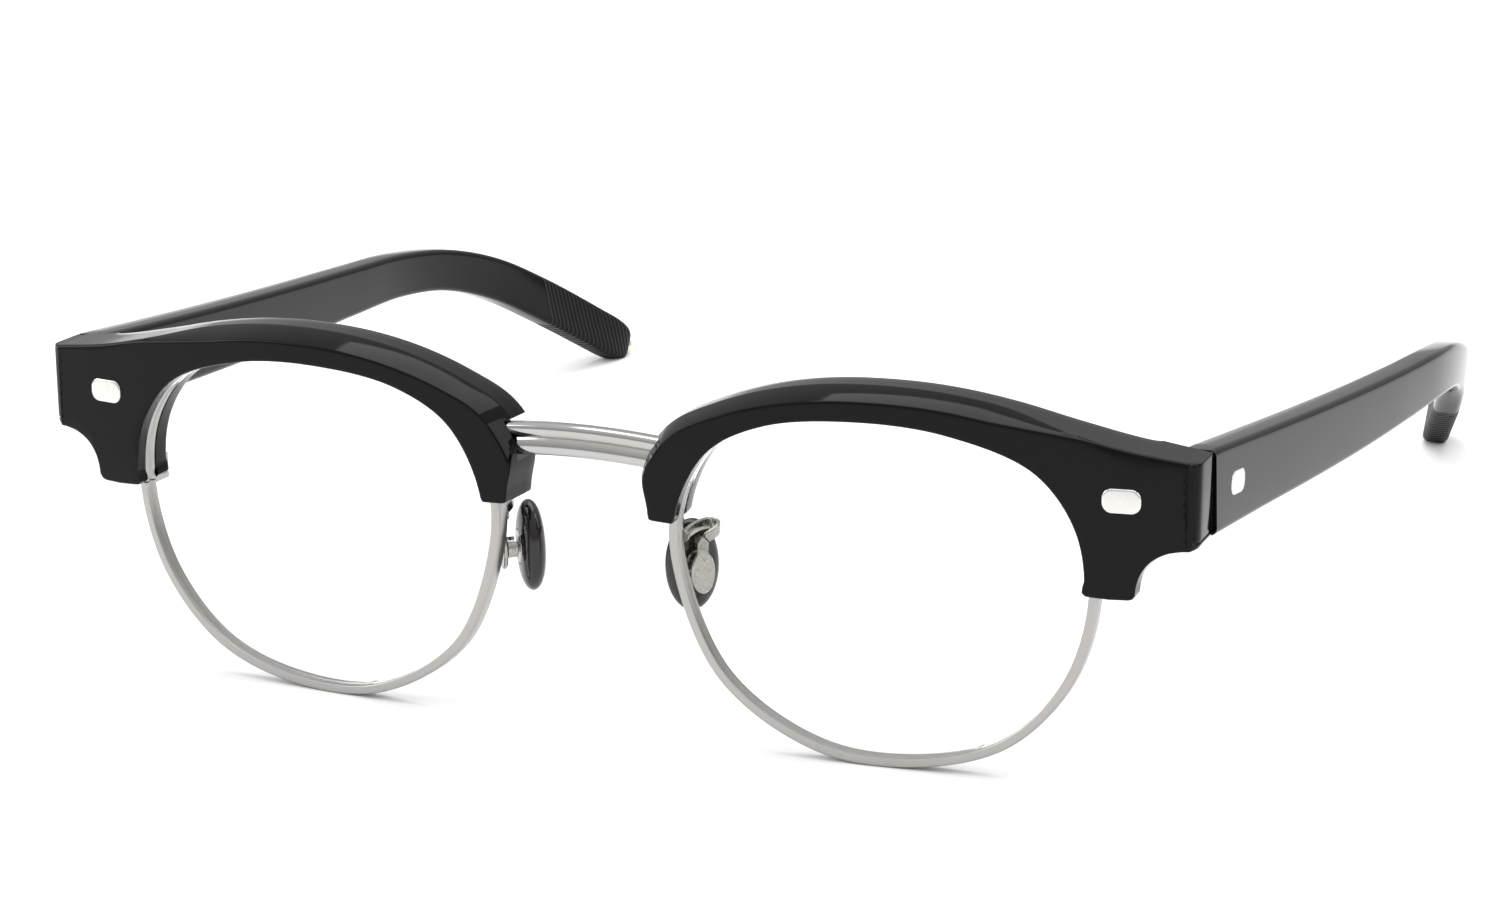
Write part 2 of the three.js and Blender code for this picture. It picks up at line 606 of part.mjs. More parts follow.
// ---------------------------------------------------------------- plaques
function plaqueBody(at, grow) {
  const flat = roundedRect(PLAQUE.w + grow * 2, PLAQUE.h + grow * 2, PLAQUE.r, 4);
  const plate = loft([-PLAQUE.proud, PLAQUE.thick].map((w) => flat.map(([a, b]) => at(a, b, w))), flat);
  const pinBody = (a) => pin(at(a, 0, 0.1), at(a, 0, PLAQUE.thick + PLAQUE.pinLen), PLAQUE.pinR + grow, 12);
  return plate.add(pinBody(-1.25)).add(pinBody(1.25));
}

const frontPlaqueCentre = [27.4, 11.5];
const frontPlaqueAt = (() => {
  const [u, v] = frontPlaqueCentre;
  const origin = eye(u, v, -LIP);
  const across = eye(u + 2, v, -LIP).sub(eye(u - 2, v, -LIP)).normalize();
  const upward = eye(u, v + 2, -LIP).sub(eye(u, v - 2, -LIP)).normalize();
  const inward = new THREE.Vector3().crossVectors(upward, across).normalize();
  if (inward.y < 0) inward.negate();
  return (a, b, w) => origin.clone().addScaledVector(across, a).addScaledVector(upward, b).addScaledVector(inward, w);
})();
const templePlaqueAt = (() => {
  const outerX = 71.05;
  const slope = new THREE.Vector3(0.006, 1, -0.145).normalize();
  const upward = new THREE.Vector3(0, 0.145, 1).normalize();
  const inward = new THREE.Vector3().crossVectors(slope, upward).negate().normalize();
  if (inward.x > 0) inward.negate();
  return (a, b, w) => new THREE.Vector3(outerX, 15.2, 32.15)
    .addScaledVector(slope, a).addScaledVector(upward, b).addScaledVector(inward, w);
})();

// ---------------------------------------------------------------- assembly
const seat = 0.03;
piece("brow", makeBrow().subtract(plaqueBody(frontPlaqueAt, seat)), ACETATE);
piece("rim", makeRim(), SATIN_METAL);
piece("rim_lock_screw", makeLockScrew(), STEEL);
piece("lens", makeLens(), GLASS);
piece("pad_arm", makePadArm(), POLISHED_METAL);
piece("pad_box", makePadBox(), POLISHED_METAL);
piece("pad_pin", makePadPin(), STEEL);
piece("pad_insert", makePadInsert(), STEEL);
piece("nose_pad", makePad(), HORN);
piece("front_hinge_leaf", makeFrontLeaf(), STEEL);
piece("hinge_screw", makeHingeScrew(), STEEL);
piece("front_plaque", plaqueBody(frontPlaqueAt, 0), POLISHED_METAL);
piece("temple", makeTemple().subtract(plaqueBody(templePlaqueAt, seat)), ACETATE);
piece("temple_hinge_leaf", makeTempleLeaf(), STEEL);
piece("temple_plaque", plaqueBody(templePlaqueAt, 0), POLISHED_METAL);
piece("temple_core_wire", sweepWire(WIRE_R, 0), STEEL);
piece("temple_tip_bead", makeBead(), BRASS);

function toMesh(name, body, { color, roughness, metalness }) {
  const { vertProperties, triVerts, numProp } = body.getMesh();
  const positions = new Float32Array((vertProperties.length / numProp) * 3);
  for (let i = 0; i < positions.length / 3; i++) {
    for (let k = 0; k < 3; k++) positions[i * 3 + k] = vertProperties[i * numProp + k];
  }
  const geometry = new THREE.BufferGeometry();
  geometry.setAttribute("position", new THREE.BufferAttribute(positions, 3));
  geometry.setIndex(new THREE.BufferAttribute(Uint32Array.from(triVerts), 1));
  geometry.computeVertexNormals();
  const mesh = new THREE.Mesh(geometry, new THREE.MeshStandardMaterial({ color, roughness, metalness }));
  mesh.name = name;
  return mesh;
}

// the left temple is the mirrored right one, turned a little further open about its hinge
const ON_TEMPLE = ["temple", "temple_hinge_leaf", "temple_plaque", "temple_core_wire", "temple_tip_bead"];

function leftOf({ name, body }) {
  const mirrored = body.mirror([1, 0, 0]);
  if (!ON_TEMPLE.includes(name)) return mirrored;
  return mirrored.translate(HINGE.x, -HINGE.y, 0).rotate(0, 0, LEFT_SPLAY).translate(-HINGE.x, HINGE.y, 0);
}

const placed = pieces.flatMap((one) => [
  { name: `${one.name}_right`, body: one.body, material: one.material },
  { name: `${one.name}_left`, body: leftOf(one), material: one.material },
]);
placed.push({ name: "bridge", body: makeBridge(), material: POLISHED_METAL });

// the origin sits on the table, under the middle of the whole thing
const boxes = placed.map(({ body }) => body.boundingBox());
const middleOf = (axis) => (
  Math.min(...boxes.map(({ min }) => min[axis])) + Math.max(...boxes.map(({ max }) => max[axis]))) / 2;
const middle = [middleOf(0), middleOf(1)];

const group = new THREE.Group();
group.name = "browline_eyeglasses";
placed.forEach(({ name, body, material }) => {
  group.add(toMesh(name, body.translate(-middle[0], -middle[1], 0), material));
});

export default group;
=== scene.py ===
import math

import bmesh
import bpy
import numpy as np
from mathutils import Matrix, Vector


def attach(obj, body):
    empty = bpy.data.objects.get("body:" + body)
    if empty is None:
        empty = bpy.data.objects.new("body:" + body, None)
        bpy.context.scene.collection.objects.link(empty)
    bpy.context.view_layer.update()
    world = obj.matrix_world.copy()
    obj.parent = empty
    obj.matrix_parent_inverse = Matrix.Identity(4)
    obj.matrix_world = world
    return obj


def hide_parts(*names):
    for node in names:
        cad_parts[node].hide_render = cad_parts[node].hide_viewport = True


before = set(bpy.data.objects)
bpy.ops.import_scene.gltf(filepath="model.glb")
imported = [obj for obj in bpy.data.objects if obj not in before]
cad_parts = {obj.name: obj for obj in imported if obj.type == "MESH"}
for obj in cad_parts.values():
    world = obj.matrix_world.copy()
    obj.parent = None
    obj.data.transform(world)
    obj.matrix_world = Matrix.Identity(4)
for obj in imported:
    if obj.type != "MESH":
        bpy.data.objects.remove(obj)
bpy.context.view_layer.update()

# ---------------------------------------------------------------- sizes, in mm unless a name says otherwise
MM = 0.001
EYE_X = 35.5
EYE_Z = 21.762
Y_MID = 66.7658
X_SHIFT = 1.8873        # the left temple reaches further out, so the middle of the whole is off the bridge
WRAP = math.radians(3.96)
LEAN = math.radians(-1.59)
BEND_R = 380
RIM_DEPTH = 2.0
RIM_FACE = 1.1
LIP = 1.8
BROW_BACK = 4.2
SLOT_GAP = 0.05
SLOT_REACH = 4           # the slot's cutter runs this far inside the rim's outline
CHAMFER = 1.15
CHAMFER_DEPTH = 2.6
CORNER_R = 1.4
BLOCK_EXTRA = 1.2
BLOCK_BACK_Y = 8.42
LEFT_SPLAY = math.radians(2.96)
HINGE_X, HINGE_Y, HINGE_R = 66.1, 9.75, 1.25
TEMPLE_FRONT_Y = 8.7
SEAM_CLOSE = 0.17         # the right temple, less far open, reaches a little nearer to the brow
PAD_U, PAD_V, PAD_W, PAD_TURN = -24.9, -2.65, 6.6, math.radians(42)
PAD_HEIGHT, PAD_WIDTH, PAD_THICK = 10.8, 6.4, 2.9
BOX_OUT = -PAD_THICK / 2
BOX_DEEP, PIN_OUT = 1.25, -0.8
PLAQUE_W, PLAQUE_H, PLAQUE_R, PLAQUE_THICK, PLAQUE_PROUD = 4.3, 2.7, 1.1, 0.6, 0.12

RIM_POINTS = [
    (24.4, 0), (21.5, -10.1), (14.3, -18.0), (3.9, -21.4), (-8.1, -20.8), (-19.5, -13.5), (-24.8, 0),
    (-24.3, 7.0), (-20.3, 13.9), (-13.3, 17.6), (-3, 19.0), (8.3, 18.3), (18.5, 14.7), (23.4, 8.2),
]
BROW_TOP = [
    (-26.9, 6.0), (-27.5, 9.6), (-26.9, 12.7), (-24.6, 15.4), (-19.6, 17.9), (-13.6, 19.9), (-7.1, 21.1),
    (0, 21.5), (7, 21.2), (14, 20.15), (21, 18.5), (28, 16.95), (34.2, 16.05),
]


# ---------------------------------------------------------------- geometry helpers
def rotation_x(a):
    c, s = math.cos(a), math.sin(a)
    return np.array([[1, 0, 0], [0, c, -s], [0, s, c]])


def rotation_z(a):
    c, s = math.cos(a), math.sin(a)
    return np.array([[c, -s, 0], [s, c, 0], [0, 0, 1]])


EYE_TURN = rotation_x(LEAN) @ rotation_z(WRAP)


def eye(u, v, w):
    """Eye frame (u out, v up, w back from the rim's front face) to the row frame in mm; arrays allowed."""
    u, v, w = np.broadcast_arrays(*(np.asarray(a, float) for a in (u, v, w)))
    bent = w + (u * u + v * v) / (2 * BEND_R)
    point = np.stack([u, bent, v], -1) @ EYE_TURN.T
    return point + np.array([EYE_X, -Y_MID, EYE_Z])


def spline(points, count, closed=False):
    """Centripetal Catmull-Rom through the points, resampled evenly along its length."""
    p = np.asarray(points, float)
    n = len(p)
    if closed:
        ring = np.vstack([p[-1:], p, p[:2]])
        spans = n
    else:
        ring = np.vstack([2 * p[:1] - p[1:2], p, 2 * p[-1:] - p[-2:-1]])
        spans = n - 1
    fine = []
    for i in range(spans):
        a, b, c, d = ring[i:i + 4]
        ab, bc, cd = (max(1e-9, np.linalg.norm(y - x)) ** 0.5 for x, y in ((a, b), (b, c), (c, d)))
        m1 = (c - b) / bc - (c - a) / (ab + bc) + (b - a) / ab
        m2 = (c - b) / bc - (d - b) / (bc + cd) + (d - c) / cd
        m1, m2 = m1 * bc, m2 * bc
        for t in np.linspace(0, 1, 40, endpoint=False):
            h1 = 2 * t ** 3 - 3 * t ** 2 + 1
            h2 = t ** 3 - 2 * t ** 2 + t
            h3 = -2 * t ** 3 + 3 * t ** 2
            h4 = t ** 3 - t ** 2
            fine.append(h1 * b + h2 * m1 + h3 * c + h4 * m2)
    fine.append(p[0] if closed else p[-1])
    fine = np.array(fine)
    run = np.concatenate([[0], np.cumsum(np.linalg.norm(np.diff(fine, axis=0), axis=1))])
    wanted = np.linspace(0, run[-1], count + 1 if closed else count)
    if closed:
        wanted = wanted[:-1]
    return np.stack([np.interp(wanted, run, fine[:, k]) for k in range(fine.shape[1])], 1)


def along(points, fractions):
    """Points at these fractions of a polyline's length."""
    run = np.concatenate([[0], np.cumsum(np.linalg.norm(np.diff(points, axis=0), axis=1))])
    wanted = np.asarray(fractions) * run[-1]
    return np.stack([np.interp(wanted, run, points[:, k]) for k in range(points.shape[1])], 1)


def inward(outline):
    """Unit normals to the left of a closed outline, so inward for an anticlockwise one."""
    d = np.roll(outline, -1, 0) - np.roll(outline, 1, 0)
    d /= np.linalg.norm(d, axis=1)[:, None]
    return np.stack([-d[:, 1], d[:, 0]], 1)


def anticlockwise(outline):
    x, y = outline[:, 0], outline[:, 1]
    area = np.sum(x * np.roll(y, -1) - y * np.roll(x, -1))
    return outline if area > 0 else outline[::-1].copy()


RIM = anticlockwise(spline(RIM_POINTS, 240, closed=True))
RIM_IN = inward(RIM)


def arc(centre, radius, start, end, steps):
    a = np.radians(np.linspace(start, end, steps + 1))
    return [(centre[0] + radius * math.cos(x), centre[1] + radius * math.sin(x)) for x in a]


def rounded_rect(width, height, radius, steps=4):
    w, h, r = width / 2, height / 2, radius
    out = []
    corners = ((w - r, -h + r, -90), (w - r, h - r, 0), (-w + r, h - r, 90), (-w + r, -h + r, 180))
    for cx, cy, start in corners:
        out += arc((cx, cy), r, start, start + 90, steps)
    return np.array(out)


def mesh_object(name, verts, faces, sharp=30, mirror=False):
    """An object from points in mm; mirror makes the left-hand piece."""
    v = np.asarray(verts, float) * MM
    if mirror:
        v = v * np.array([-1, 1, 1])
    v = v + np.array([X_SHIFT * MM, 0, 0])
    mesh = bpy.data.meshes.new(name)
    mesh.from_pydata([tuple(p) for p in v], [], [tuple(f) for f in faces])
    bm = bmesh.new()
    bm.from_mesh(mesh)
    bmesh.ops.remove_doubles(bm, verts=bm.verts, dist=1e-7)
    bmesh.ops.recalc_face_normals(bm, faces=bm.faces)
    if bm.calc_volume(signed=True) < 0:
        bmesh.ops.reverse_faces(bm, faces=bm.faces)
    bm.to_mesh(mesh)
    bm.free()
    obj = bpy.data.objects.new(name, mesh)
    bpy.context.scene.collection.objects.link(obj)
    shade(obj, sharp)
    return obj


def shade(obj, sharp=30):
    mesh = obj.data
    mesh.polygons.foreach_set("use_smooth", [True] * len(mesh.polygons))
    mesh.set_sharp_from_angle(angle=math.radians(sharp))


def grid_faces(rings, around, closed_rings=False, closed_around=True):
    faces = []
    for r in range(rings if closed_rings else rings - 1):
        nxt = (r + 1) % rings
        for i in range(around if closed_around else around - 1):
            j = (i + 1) % around
            faces.append((r * around + i, r * around + j, nxt * around + j, nxt * around + i))
    return faces


def loft(sections, caps=True, closed=False):
    """Vertices and faces through matching rings."""
    n = len(sections[0])
    verts = np.vstack(sections)
    faces = grid_faces(len(sections), n, closed_rings=closed)
    if caps and not closed:
        faces.append(tuple(range(n))[::-1])
        faces.append(tuple((len(sections) - 1) * n + i for i in range(n)))
    return verts, faces


def box_mesh(corners8):
    faces = [(0, 1, 2, 3), (7, 6, 5, 4), (0, 4, 5, 1), (1, 5, 6, 2), (2, 6, 7, 3), (3, 7, 4, 0)]
    return np.asarray(corners8), faces


def eye_box(u0, u1, v0, v1, w0, w1):
    return box_mesh([eye(u, v, w) for w in (w0, w1) for u, v in ((u0, v0), (u1, v0), (u1, v1), (u0, v1))])


def world_box(x0, x1, y0, y1, z0, z1):
    return box_mesh([(x, y, z) for z in (z0, z1) for x, y in ((x0, y0), (x1, y0), (x1, y1), (x0, y1))])


def carve(obj, solids, operation="DIFFERENCE", mirror=False, sharp=30):
    """Boolean with solids given as (verts, faces) in mm, applied at once."""
    for verts, faces in solids:
        tool = mesh_object("cutter", verts, faces, mirror=mirror)
        mod = obj.modifiers.new("cut", "BOOLEAN")
        mod.operation = operation
        mod.solver = "EXACT"
        mod.object = tool
        apply_modifiers(obj)
        bpy.data.objects.remove(tool, do_unlink=True)
    shade(obj, sharp)
    return obj


def apply_modifiers(obj):
    depsgraph = bpy.context.evaluated_depsgraph_get()
    baked = bpy.data.meshes.new_from_object(obj.evaluated_get(depsgraph))
    obj.modifiers.clear()
    old = obj.data
    obj.data = baked
    baked.name = obj.name
    bpy.data.meshes.remove(old)


def revolve(profile, start, end, sides=32):
    """Solid of revolution: profile is (distance along start to end, radius)."""
    a, b = np.asarray(start, float), np.asarray(end, float)
    axis = (b - a) / np.linalg.norm(b - a)
    helper = np.array([0, 0, 1.0]) if abs(axis[2]) < 0.9 else np.array([1.0, 0, 0])
    x = np.cross(axis, helper)
    x /= np.linalg.norm(x)
    y = np.cross(axis, x)
    angles = np.linspace(0, 2 * math.pi, sides, endpoint=False)
    ring = np.cos(angles)[:, None] * x + np.sin(angles)[:, None] * y
    return loft([a + axis * d + ring * r for d, r in profile])


# ---------------------------------------------------------------- materials
def new_material(name):
    material = bpy.data.materials.new(name)
    material.use_nodes = True
    nodes = material.node_tree.nodes
    links = material.node_tree.links
    return material, nodes, links, nodes["Principled BSDF"]


def noise(nodes, links, scale, detail=3.0, stretch=None):
    coords = nodes.new("ShaderNodeTexCoord")
    texture = nodes.new("ShaderNodeTexNoise")
    texture.inputs["Scale"].default_value = scale
    texture.inputs["Detail"].default_value = detail
    if stretch:
        mapping = nodes.new("ShaderNodeMapping")
        mapping.inputs["Scale"].default_value = stretch
        links.new(coords.outputs["Object"], mapping.inputs["Vector"])
        links.new(mapping.outputs["Vector"], texture.inputs["Vector"])
    else:
        links.new(coords.outputs["Object"], texture.inputs["Vector"])
    return texture


def ramp(nodes, links, source, low, high, start=0.35, end=0.65):
    node = nodes.new("ShaderNodeMapRange")
    node.inputs["From Min"].default_value = start
    node.inputs["From Max"].default_value = end
    node.inputs["To Min"].default_value = low
    node.inputs["To Max"].default_value = high
    links.new(source, node.inputs["Value"])
    return node.outputs["Result"]


def bump(nodes, links, height, bsdf, strength, distance):
    node = nodes.new("ShaderNodeBump")
    node.inputs["Strength"].default_value = strength
    node.inputs["Distance"].default_value = distance
    links.new(height, node.inputs["Height"])
    links.new(node.outputs["Normal"], bsdf.inputs["Normal"])


GRIP_START = 0.053
GRIP_RIBS = 9000


def acetate_material(name="acetate_black", grip_start=None):
    """Polished black acetate; behind grip_start (metres along Y) it turns matte and finely ribbed."""
    material, nodes, links, bsdf = new_material(name)
    bsdf.inputs["Base Color"].default_value = (0.0012, 0.0012, 0.0018, 1)
    bsdf.inputs["IOR"].default_value = 1.25
    fine = noise(nodes, links, 900)
    links.new(ramp(nodes, links, fine.outputs["Fac"], 0.05, 0.09), bsdf.inputs["Roughness"])
    if grip_start is None:
        wave = noise(nodes, links, 130, 1.0)
        bump(nodes, links, wave.outputs["Fac"], bsdf, 0.05, 0.0002)
        return material
    coords = nodes.new("ShaderNodeTexCoord")
    parts = nodes.new("ShaderNodeSeparateXYZ")
    links.new(coords.outputs["Object"], parts.inputs["Vector"])
    grip = ramp(nodes, links, parts.outputs["Y"], 0.0, 1.0, grip_start, grip_start + 0.0006)
    links.new(ramp(nodes, links, grip, 0.07, 0.42, 0.0, 1.0), bsdf.inputs["Roughness"])
    rib = nodes.new("ShaderNodeMath")
    rib.operation = "MULTIPLY"
    rib.inputs[1].default_value = GRIP_RIBS
    links.new(parts.outputs["Y"], rib.inputs[0])
    ridge = nodes.new("ShaderNodeMath")
    ridge.operation = "SINE"
    links.new(rib.outputs[0], ridge.inputs[0])
    height = nodes.new("ShaderNodeMath")
    height.operation = "MULTIPLY"
    links.new(ridge.outputs[0], height.inputs[0])
    links.new(grip, height.inputs[1])
    bump(nodes, links, height.outputs[0], bsdf, 0.6, 0.00008)
    return material


def metal_material(name, color, rough, stretch=None, grain=0.0, variation=0.04):
    material, nodes, links, bsdf = new_material(name)
    bsdf.inputs["Base Color"].default_value = (*color, 1)
    bsdf.inputs["Metallic"].default_value = 1.0
    fine = noise(nodes, links, 2500 if not stretch else 1.0, 4.0, stretch)
    low, high = max(0.02, rough - variation), rough + variation
    links.new(ramp(nodes, links, fine.outputs["Fac"], low, high), bsdf.inputs["Roughness"])
    if grain:
        bump(nodes, links, fine.outputs["Fac"], bsdf, grain, 0.00003)
    return material


def lens_material():
    material, nodes, links, bsdf = new_material("lens_clear")
    bsdf.inputs["Base Color"].default_value = (0.985, 0.99, 0.99, 1)
    bsdf.inputs["Roughness"].default_value = 0.0
    bsdf.inputs["IOR"].default_value = 1.02
    bsdf.inputs["Transmission Weight"].default_value = 1.0
    return material


def horn_material():
    material, nodes, links, bsdf = new_material("pad_horn")
    streak = noise(nodes, links, 260, 4.0, (1, 1, 0.35))
    mix = nodes.new("ShaderNodeValToRGB")
    mix.color_ramp.elements[0].position = 0.4
    mix.color_ramp.elements[0].color = (0.004, 0.004, 0.005, 1)
    mix.color_ramp.elements[1].position = 0.68
    mix.color_ramp.elements[1].color = (0.026, 0.017, 0.010, 1)
    links.new(streak.outputs["Fac"], mix.inputs["Fac"])
    links.new(mix.outputs["Color"], bsdf.inputs["Base Color"])
    bsdf.inputs["Roughness"].default_value = 0.12
    bsdf.inputs["Transmission Weight"].default_value = 0.08
    bsdf.inputs["IOR"].default_value = 1.5
    return material


ACETATE = acetate_material()
SATIN = metal_material("rim_satin", (0.40, 0.385, 0.37), 0.32, grain=0.05)
POLISHED = metal_material("metal_polished", (0.44, 0.43, 0.415), 0.10)
PLAQUE_METAL = metal_material("plaque_polished", (0.68, 0.665, 0.64), 0.22)
NICKEL = metal_material("nickel_satin", (0.36, 0.345, 0.32), 0.24, grain=0.02)
STEEL = metal_material("steel_plain", (0.34, 0.335, 0.33), 0.25)
LENS = lens_material()
HORN = horn_material()
BRASS = metal_material("tip_metal", (0.80, 0.72, 0.58), 0.15)
TEMPLE_ACETATE = acetate_material("acetate_black_ribbed_grip", GRIP_START)

SIDES = (("right", False), ("left", True))


def finish_piece(obj, material, body, slot, *nodes):
    obj.data.materials.clear()
    obj.data.materials.append(material)
    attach(obj, body)
    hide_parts(*nodes)
    return obj


# ---------------------------------------------------------------- brow
BROW_STATIONS = 150
SIDE_DEPTHS = (-1.3, -1.05, -0.75, -0.4, 0.4, 1.6, 2.6)


def brow_curves():
    """Matched bottom and top edges of the brow from the nose end to the outer end."""
    inner = RIM + RIM_IN * (RIM_FACE + 0.05)
    order = inner[::-1]
    start = int(np.argmin(np.hypot(order[:, 0] + 23.65, order[:, 1] - 4.9)))
    order = np.roll(order, -start, 0)
    stop = next(i for i, (u, v) in enumerate(order) if i > 20 and u > 0 and v < 1.5)
    edge = order[:stop]
    corner = arc((23.65, 1.25), 0.65, 175, 265, 6)
    lobe = [(24.4, 0.55), (26.1, 0.45), (27.4, 0.5)]
    outer = arc((28.1, 1.3), 0.8, -80, 0, 8)
    notch = spline([(28.93, 1.9), (29.4, 3.4), (30.5, 4.9), (32.2, 5.9), (33.8, 6.25)], 24)
    notch = np.vstack([notch, arc((34.75, 7.15), 0.85, -80, 0, 8)])
    bottom = np.vstack([[(-23.72, 4.45)], edge, corner, lobe, outer, notch])
    top = np.vstack([[(-26.78, 4.6)], spline(BROW_TOP, 120), [(35.75, 15.9)]])
    return bottom, top


def match(bottom, top):
    """Pairs key points of the two edges and spreads the stations between them."""
    keys_bottom = [
        (-23.72, 4.45), (-22.9, 9.6), (-19.5, 13.2), (-12.9, 16.5), (-3, 17.9), (8, 17.2), (17.6, 13.8),
        (22.2, 7.8), (23.05, 1.3), (26.1, 0.5), (28.9, 1.2), (30.5, 4.9), (32.2, 5.9), (35.6, 7.15),
    ]
    keys_top = [
        (-26.78, 4.6), (-27.4, 10.5), (-24.6, 15.4), (-14.8, 19.5), (-3.2, 21.35), (9.3, 20.95), (20.0, 18.75),
        (25.2, 17.5), (27.6, 17.0), (29.2, 16.75), (30.8, 16.5), (32.2, 16.3), (33.4, 16.15), (35.75, 15.9),
    ]

    def fraction(line, key):
        run = np.concatenate([[0], np.cumsum(np.linalg.norm(np.diff(line, axis=0), axis=1))])
        return run[int(np.argmin(np.linalg.norm(line - np.array(key), axis=1)))] / run[-1]

    fb = [fraction(bottom, k) for k in keys_bottom]
    ft = [fraction(top, k) for k in keys_top]
    s = np.concatenate([np.linspace(0, 0.97, BROW_STATIONS), np.linspace(0.97, 1, 20)[1:]])
    # stations follow the bottom edge, where the corners are
    return along(bottom, s), along(top, np.interp(s, fb, ft))


def brow_section(b, t, chamfer, shrink):
    """Section loop at one station, as points in the eye frame."""
    d = (t - b) / np.linalg.norm(t - b)
    length = np.linalg.norm(t - b)
    front, back = -LIP + shrink, BROW_BACK - shrink + BLOCK_EXTRA * smoothstep((b[0] + t[0]) / 2, 27, 32)
    r = 0.32
    steps = 4
    low, high = shrink, length - shrink
    loop = []

    def add(x, w):
        p = b + d * x
        loop.append((p[0], p[1], w))

    # front lower edge, front face, top front edge with its chamfer
    for k in range(steps + 1):
        a = math.radians(180 + 90 * k / steps)
        add(low + r + r * math.cos(a), front + r + r * math.sin(a))
    ridge = high - chamfer
    for k in range(1, 7):
        add(low + r + (ridge - r - low - r) * k / 7, front)
    run = max(0.02, CHAMFER_DEPTH * min(1, chamfer / CHAMFER + 0.001))
    fall = math.degrees(math.atan2(chamfer, run))
    for k in range(steps + 1):
        a = math.radians(-90 + (90 - fall) * k / steps)
        add(ridge - r + r * math.cos(a), front + r + r * math.sin(a))
    depth = front + max(r * 1.2, CHAMFER_DEPTH * min(1.0, chamfer / CHAMFER))
    add(high - chamfer * 0.04, depth)
    add(high, depth + 0.25)
    for w in SIDE_DEPTHS:
        add(high, max(w, depth + 0.3))
    for k in range(steps + 1):
        a = math.radians(90 * k / steps)
        add(high - r + r * math.cos(a), back - r + r * math.sin(a))
    for k in range(1, 7):
        add(high - r - (high - r - low - r) * k / 7, back)
    for k in range(steps + 1):
        a = math.radians(90 + 90 * k / steps)
        add(low + r + r * math.cos(a), back - r + r * math.sin(a))
    for w in SIDE_DEPTHS[::-1]:
        add(low, w)
    return [(u - bite(w) * smoothstep(u, 34.4, 35.5), v, w) for u, v, w in loop]


def bite(w):
    """How far the rounding of the end block's front corner cuts back at this depth."""
    ahead = max(0.0, CORNER_R - (w + LIP))
    return CORNER_R - math.sqrt(max(0.0, CORNER_R ** 2 - ahead ** 2))


def smoothstep(x, a, b):
    t = min(1, max(0, (x - a) / (b - a)))
    return t * t * (3 - 2 * t)


def build_brow(side, mirror):
    bottom, top = match(*brow_curves())
    sections = []
    for i, (b, t) in enumerate(zip(bottom, top)):
        chamfer = CHAMFER * (1 - smoothstep(t[0], 12, 25)) * smoothstep(t[1], 8.5, 13.5)
        sections.append((b, t, chamfer))
    rings = []
    r = 0.32
    b, t, c = sections[0]
    out = np.array([0.06, -1.0])
    for k in range(3):
        a = math.radians(90 * k / 3)
        shrink = r * (1 - math.sin(a))
        step = out * (r * math.cos(a) - r)
        rings.append(brow_section(b + step, t + step, c, shrink))
    for b, t, c in sections[1:-1]:
        rings.append(brow_section(b, t, c, 0))
    b, t, c = sections[-1]
    out = np.array([1.0, 0])
    for k in range(2, -1, -1):
        a = math.radians(90 * k / 3)
        shrink = r * (1 - math.sin(a))
        step = out * (r * math.cos(a) - r)
        rings.append(brow_section(b + step, t + step, c, shrink))
    placed = [eye(*np.array(ring).T) for ring in rings]
    verts, faces = loft(placed)
    faces.pop()
    faces += end_strips(np.array(rings[-1]), (len(rings) - 1) * len(rings[-1]))
    obj = mesh_object(f"brow_acetate_{side}", verts, faces, mirror=mirror)
    cutters = [slot_ring()]
    cutters.append(eye_box(-30, -24.2, 9.2, 13.7, 0, 6))
    cutters.append(eye_box(-24.3, -20, 9.2, 13.7, 0, 2.3))
    cutters.append(eye_box(24.1, 31, -3, 3.4, 0.25, 7))
    z = EYE_Z
    cutters.append(world_box(59.5, 66.4, 6.9 - Y_MID, 14 - Y_MID, z + 7.75, z + 14.25))
    cutters.append(world_box(40, 80, BLOCK_BACK_Y - Y_MID, 20 - Y_MID, 0, 60))
    carve(obj, cutters, mirror=mirror)
    return finish_piece(obj, ACETATE, "front", "acetate", f"brow_{side}")


def end_strips(ring, first):
    """Closes the outer end with triangles between its lower and upper edges, so the rounding stays clean."""
    middle = (ring[:, 1].min() + ring[:, 1].max()) / 2
    count = len(ring)
    low = sorted((i for i in range(count) if ring[i, 1] < middle), key=lambda i: ring[i, 2])
    high = sorted((i for i in range(count) if ring[i, 1] >= middle), key=lambda i: ring[i, 2])
    faces = []
    a = b = 0
    while a + 1 < len(low) or b + 1 < len(high):
        step_low = b + 1 >= len(high) or (a + 1 < len(low) and ring[low[a + 1], 2] <= ring[high[b + 1], 2])
        if step_low:
            faces.append((first + low[a], first + high[b], first + low[a + 1]))
            a += 1
        else:
            faces.append((first + low[a], first + high[b], first + high[b + 1]))
            b += 1
    return faces


def slot_ring():
    rings = []
    low, high = -SLOT_GAP, RIM_DEPTH + SLOT_GAP
    for amount, w in ((-SLOT_GAP, low), (SLOT_REACH, low), (SLOT_REACH, high), (-SLOT_GAP, high)):
        p = RIM + RIM_IN * amount
        rings.append(eye(p[:, 0], p[:, 1], w))
    sections = [np.array([ring[i] for ring in rings]) for i in range(0, len(RIM), 2)]
    return loft(sections, closed=True)


